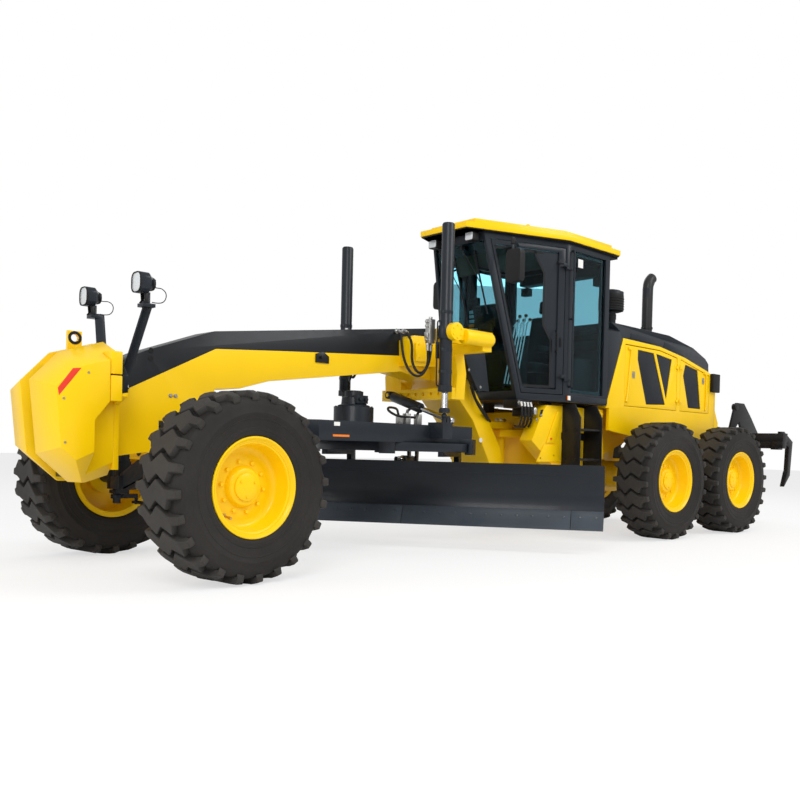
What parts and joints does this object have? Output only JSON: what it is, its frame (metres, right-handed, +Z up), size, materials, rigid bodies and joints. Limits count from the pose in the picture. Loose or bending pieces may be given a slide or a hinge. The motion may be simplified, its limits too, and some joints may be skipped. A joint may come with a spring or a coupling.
{
  "type": "motor grader",
  "caption": "Articulated road grader: a tipping, turning blade under a bent beam, glazed cab, engine hood, tandem drive, leaning steered front wheels and a rear ripper.",
  "frame": {"origin": "on the floor under the middle of the overall box: half way between the nose weight's foremost face and the ripper's rearmost edge, and half way across the blade, which is the widest piece", "axes": "+X forward to the nose, +Y to the operator's left, +Z up; all wheels stand on Z = 0"},
  "size_m": [10.1, 3.3754, 3.369],
  "materials": {
    "black": "satin black enamel",
    "cast": "rough",
    "chrome": "polished",
    "glass": "lightly tinted",
    "plastic": "moulded",
    "seat": "woven upholstery",
    "slate": "satin dark slate enamel",
    "tyre": "matt tread rubber",
    "yellow": "semi-gloss yellow enamel"
  },
  "bodies": {
    "rear": {"rear_frame": "yellow", "tandem_cases": "slate", "engine_block": "cast", "hood_body": "yellow", "hood_top": "black", "cab_frame": "slate", "cab_roof": "yellow", "cab_glass": "glass", "cab_seat": "seat", "cab_controls": "plastic", "side_steps": "black"},
    "front_frame": {"main_beam": "yellow", "nose_weight": "yellow", "lamp_stalks": "black", "lift_saddle": "yellow", "front_axle": "slate"},
    "lean_link_left": {"lean_link_left": "slate"},
    "lean_link_right": {"lean_link_right": "slate"},
    "lean_bar": {"lean_bar": "slate"},
    "knuckle_left": {"knuckle_left": "slate"},
    "knuckle_right": {"knuckle_right": "slate"},
    "tie_rod_end": {"tie_rod_end": "slate"},
    "tie_rod": {"tie_rod": "slate"},
    "drawbar": {"drawbar": "slate"},
    "circle": {"circle": "slate"},
    "blade_carrier": {"blade_carrier": "slate"},
    "moldboard": {"moldboard": "slate"},
    "tip_barrel": {"tip_barrel": "black"},
    "tip_rod": {"tip_rod": "chrome"},
    "lift_barrel_left": {"lift_barrel_left": "black"},
    "lift_barrel_right": {"lift_barrel_right": "black"},
    "lift_rod_left": {"lift_rod_left": "chrome"},
    "lift_rod_right": {"lift_rod_right": "chrome"},
    "shift_barrel": {"shift_barrel": "black"},
    "shift_rod": {"shift_rod": "chrome"},
    "cab_door_left": {"cab_door_left": "black", "door_glass_left": "glass"},
    "cab_door_right": {"cab_door_right": "black", "door_glass_right": "glass"},
    "hood_door_front_left": {"hood_door_front_left": "yellow"},
    "hood_door_front_right": {"hood_door_front_right": "yellow"},
    "hood_door_rear_left": {"hood_door_rear_left": "yellow"},
    "hood_door_rear_right": {"hood_door_rear_right": "yellow"},
    "ripper_beam": {"ripper_beam": "black"},
    "ripper_barrel": {"ripper_barrel": "black"},
    "ripper_rod": {"ripper_rod": "chrome"},
    "wheel_front_left": {"front_tyre_left": "tyre", "front_rim_left": "yellow"},
    "wheel_front_right": {"front_tyre_right": "tyre", "front_rim_right": "yellow"},
    "wheel_mid_left": {"mid_tyre_left": "tyre", "mid_rim_left": "yellow"},
    "wheel_mid_right": {"mid_tyre_right": "tyre", "mid_rim_right": "yellow"},
    "wheel_rear_left": {"rear_tyre_left": "tyre", "rear_rim_left": "yellow"},
    "wheel_rear_right": {"rear_tyre_right": "tyre", "rear_rim_right": "yellow"}
  },
  "joints": [
    {"name": "articulation", "type": "hinge", "parent": "rear", "child": "front_frame", "pos_m": [0.16, 0, 0.9], "axis": [0, 0, 1], "range_deg": [-20, 20]},
    {"name": "wheel_lean_left", "type": "hinge", "parent": "front_frame", "child": "lean_link_left", "pos_m": [4.029, 0.72, 0.62], "axis": [1, 0, 0], "range_deg": [-18, 18]},
    {"name": "wheel_lean_right", "type": "hinge", "parent": "front_frame", "child": "lean_link_right", "pos_m": [4.029, -0.72, 0.62], "axis": [1, 0, 0], "range_deg": [-18, 18]},
    {"name": "lean_bar_pivot", "type": "hinge", "parent": "lean_link_left", "child": "lean_bar", "pos_m": [4.029, 0.72, 1.06], "axis": [1, 0, 0], "range_deg": [-18.02, 18.02]},
    {"name": "steering_left", "type": "hinge", "parent": "lean_link_left", "child": "knuckle_left", "pos_m": [4.029, 0.85, 0.67], "axis": [0, 0, 1], "range_deg": [-52.4, 37.6]},
    {"name": "steering_right", "type": "hinge", "parent": "lean_link_right", "child": "knuckle_right", "pos_m": [4.029, -0.85, 0.67], "axis": [0, 0, 1], "range_deg": [-52.4, 37.6]},
    {"name": "track_rod_end", "type": "hinge", "parent": "knuckle_left", "child": "tie_rod_end", "pos_m": [3.8505, 0.82682, 0.455], "axis": [0, 0, 1], "range_deg": [-37.62, 52.42]},
    {"name": "track_rod_pivot", "type": "hinge", "parent": "tie_rod_end", "child": "tie_rod", "pos_m": [3.8505, 0.76182, 0.443], "axis": [1, 0, 0], "range_deg": [-20, 20]},
    {"name": "wheel_front_left_spin", "type": "hinge", "parent": "knuckle_left", "child": "wheel_front_left", "pos_m": [3.9997, 1.0756, 0.67], "axis": [-0.1288, 0.9917, 0], "continuous": true},
    {"name": "wheel_mid_left_spin", "type": "hinge", "parent": "rear", "child": "wheel_mid_left", "pos_m": [-1.421, 1.0775, 0.67], "axis": [0, 1, 0], "continuous": true},
    {"name": "wheel_rear_left_spin", "type": "hinge", "parent": "rear", "child": "wheel_rear_left", "pos_m": [-2.959, 1.0775, 0.67], "axis": [0, 1, 0], "continuous": true},
    {"name": "wheel_front_right_spin", "type": "hinge", "parent": "knuckle_right", "child": "wheel_front_right", "pos_m": [4.0583, -1.0756, 0.67], "axis": [-0.1288, 0.9917, 0], "continuous": true},
    {"name": "wheel_mid_right_spin", "type": "hinge", "parent": "rear", "child": "wheel_mid_right", "pos_m": [-1.421, -1.0775, 0.67], "axis": [0, 1, 0], "continuous": true},
    {"name": "wheel_rear_right_spin", "type": "hinge", "parent": "rear", "child": "wheel_rear_right", "pos_m": [-2.959, -1.0775, 0.67], "axis": [0, 1, 0], "continuous": true},
    {"name": "drawbar_lift", "type": "hinge", "parent": "front_frame", "child": "drawbar", "pos_m": [3.57, 0, 1.02], "axis": [0, 1, 0], "range_deg": [-4.1, 4.5]},
    {"name": "lift_barrel_left_swing", "type": "hinge", "parent": "front_frame", "child": "lift_barrel_left", "pos_m": [1.73, 0.75, 2.03], "axis": [0, 1, 0], "range_deg": [-4, 4]},
    {"name": "lift_rod_left_slide", "type": "slide", "parent": "lift_barrel_left", "child": "lift_rod_left", "axis": [0, 0, 1], "range_m": [-0.13338, 0.1462]},
    {"name": "lift_barrel_right_swing", "type": "hinge", "parent": "front_frame", "child": "lift_barrel_right", "pos_m": [1.73, -0.75, 2.03], "axis": [0, 1, 0], "range_deg": [-4, 4]},
    {"name": "lift_rod_right_slide", "type": "slide", "parent": "lift_barrel_right", "child": "lift_rod_right", "axis": [0, 0, 1], "range_m": [-0.13338, 0.1462]},
    {"name": "centre_shift_swing", "type": "hinge", "parent": "front_frame", "child": "shift_barrel", "pos_m": [1.482, -0.33, 1.505], "axis": [1, 0, 0], "range_deg": [-20, 20]},
    {"name": "centre_shift_slide", "type": "slide", "parent": "shift_barrel", "child": "shift_rod", "axis": [0, 0.9593, -0.2825], "range_m": [-0.0465, 0.04254]},
    {"name": "circle_turn", "type": "hinge", "parent": "drawbar", "child": "circle", "pos_m": [1.68, 0, 0.97], "axis": [0, 0, 1], "range_deg": [-76, 8]},
    {"name": "blade_tip", "type": "hinge", "parent": "circle", "child": "blade_carrier", "pos_m": [1.36497, -0.21249, 0.48], "axis": [-0.5592, 0.829, 0], "range_deg": [-5, 40]},
    {"name": "tip_barrel_swing", "type": "hinge", "parent": "circle", "child": "tip_barrel", "pos_m": [1.08309, -0.40262, 0.85], "axis": [-0.5592, 0.829, 0], "range_deg": [-10, 25]},
    {"name": "tip_rod_slide", "type": "slide", "parent": "tip_barrel", "child": "tip_rod", "axis": [0.829, 0.5592, 0.0104], "range_m": [-0.03143, 0.23746]},
    {"name": "blade_side_shift", "type": "slide", "parent": "blade_carrier", "child": "moldboard", "axis": [-0.5592, 0.829, 0], "range_m": [-0.51, 0.39]},
    {"name": "cab_door_left_hinge", "type": "hinge", "parent": "rear", "child": "cab_door_left", "pos_m": [0.005, 0.758, 2.3], "axis": [0, 0, 1], "range_deg": [0, 85]},
    {"name": "cab_door_right_hinge", "type": "hinge", "parent": "rear", "child": "cab_door_right", "pos_m": [0.005, -0.758, 2.3], "axis": [0, 0, -1], "range_deg": [0, 85]},
    {"name": "hood_door_front_left_hinge", "type": "hinge", "parent": "rear", "child": "hood_door_front_left", "pos_m": [-2.327, 0.704, 1.9], "axis": [0, 0, 1], "range_deg": [0, 80]},
    {"name": "hood_door_rear_left_hinge", "type": "hinge", "parent": "rear", "child": "hood_door_rear_left", "pos_m": [-2.383, 0.704, 1.9], "axis": [0, 0, -1], "range_deg": [0, 80]},
    {"name": "hood_door_front_right_hinge", "type": "hinge", "parent": "rear", "child": "hood_door_front_right", "pos_m": [-2.327, -0.704, 1.9], "axis": [0, 0, -1], "range_deg": [0, 80]},
    {"name": "hood_door_rear_right_hinge", "type": "hinge", "parent": "rear", "child": "hood_door_rear_right", "pos_m": [-2.383, -0.704, 1.9], "axis": [0, 0, 1], "range_deg": [0, 80]},
    {"name": "ripper_lift", "type": "hinge", "parent": "rear", "child": "ripper_beam", "pos_m": [-3.69, 0, 0.8], "axis": [0, -1, 0], "range_deg": [0, 42]},
    {"name": "ripper_barrel_swing", "type": "hinge", "parent": "rear", "child": "ripper_barrel", "pos_m": [-3.61, 0, 1.56], "axis": [0, -1, 0], "range_deg": [-3, 35]},
    {"name": "ripper_rod_slide", "type": "slide", "parent": "ripper_barrel", "child": "ripper_rod", "axis": [-0.9826, 0, -0.1855], "range_m": [-0.002, 0.48712]}
  ],
  "couplings": [
    {"joint": "wheel_lean_right", "follows": "wheel_lean_left", "ratio": 1},
    {"joint": "lean_bar_pivot", "follows": "wheel_lean_left", "ratio": -1},
    {"joint": "steering_right", "follows": "steering_left", "ratio": 1},
    {"joint": "track_rod_end", "follows": "steering_left", "ratio": -1},
    {"joint": "track_rod_pivot", "follows": "wheel_lean_left", "ratio": -0.88},
    {"joint": "lift_barrel_left_swing", "follows": "drawbar_lift", "ratio": -0.34213},
    {"joint": "lift_rod_left_slide", "follows": "drawbar_lift", "m_per_rad": 1.836},
    {"joint": "lift_barrel_right_swing", "follows": "drawbar_lift", "ratio": -0.34213},
    {"joint": "lift_rod_right_slide", "follows": "drawbar_lift", "m_per_rad": 1.836},
    {"joint": "centre_shift_swing", "follows": "drawbar_lift", "ratio": 2.1196},
    {"joint": "centre_shift_slide", "follows": "drawbar_lift", "m_per_rad": -0.56654},
    {"joint": "tip_barrel_swing", "follows": "blade_tip", "ratio": 0.36181},
    {"joint": "tip_rod_slide", "follows": "blade_tip", "m_per_rad": 0.33727},
    {"joint": "ripper_barrel_swing", "follows": "ripper_lift", "ratio": 0.69646},
    {"joint": "ripper_rod_slide", "follows": "ripper_lift", "m_per_rad": 0.6618}
  ]
}
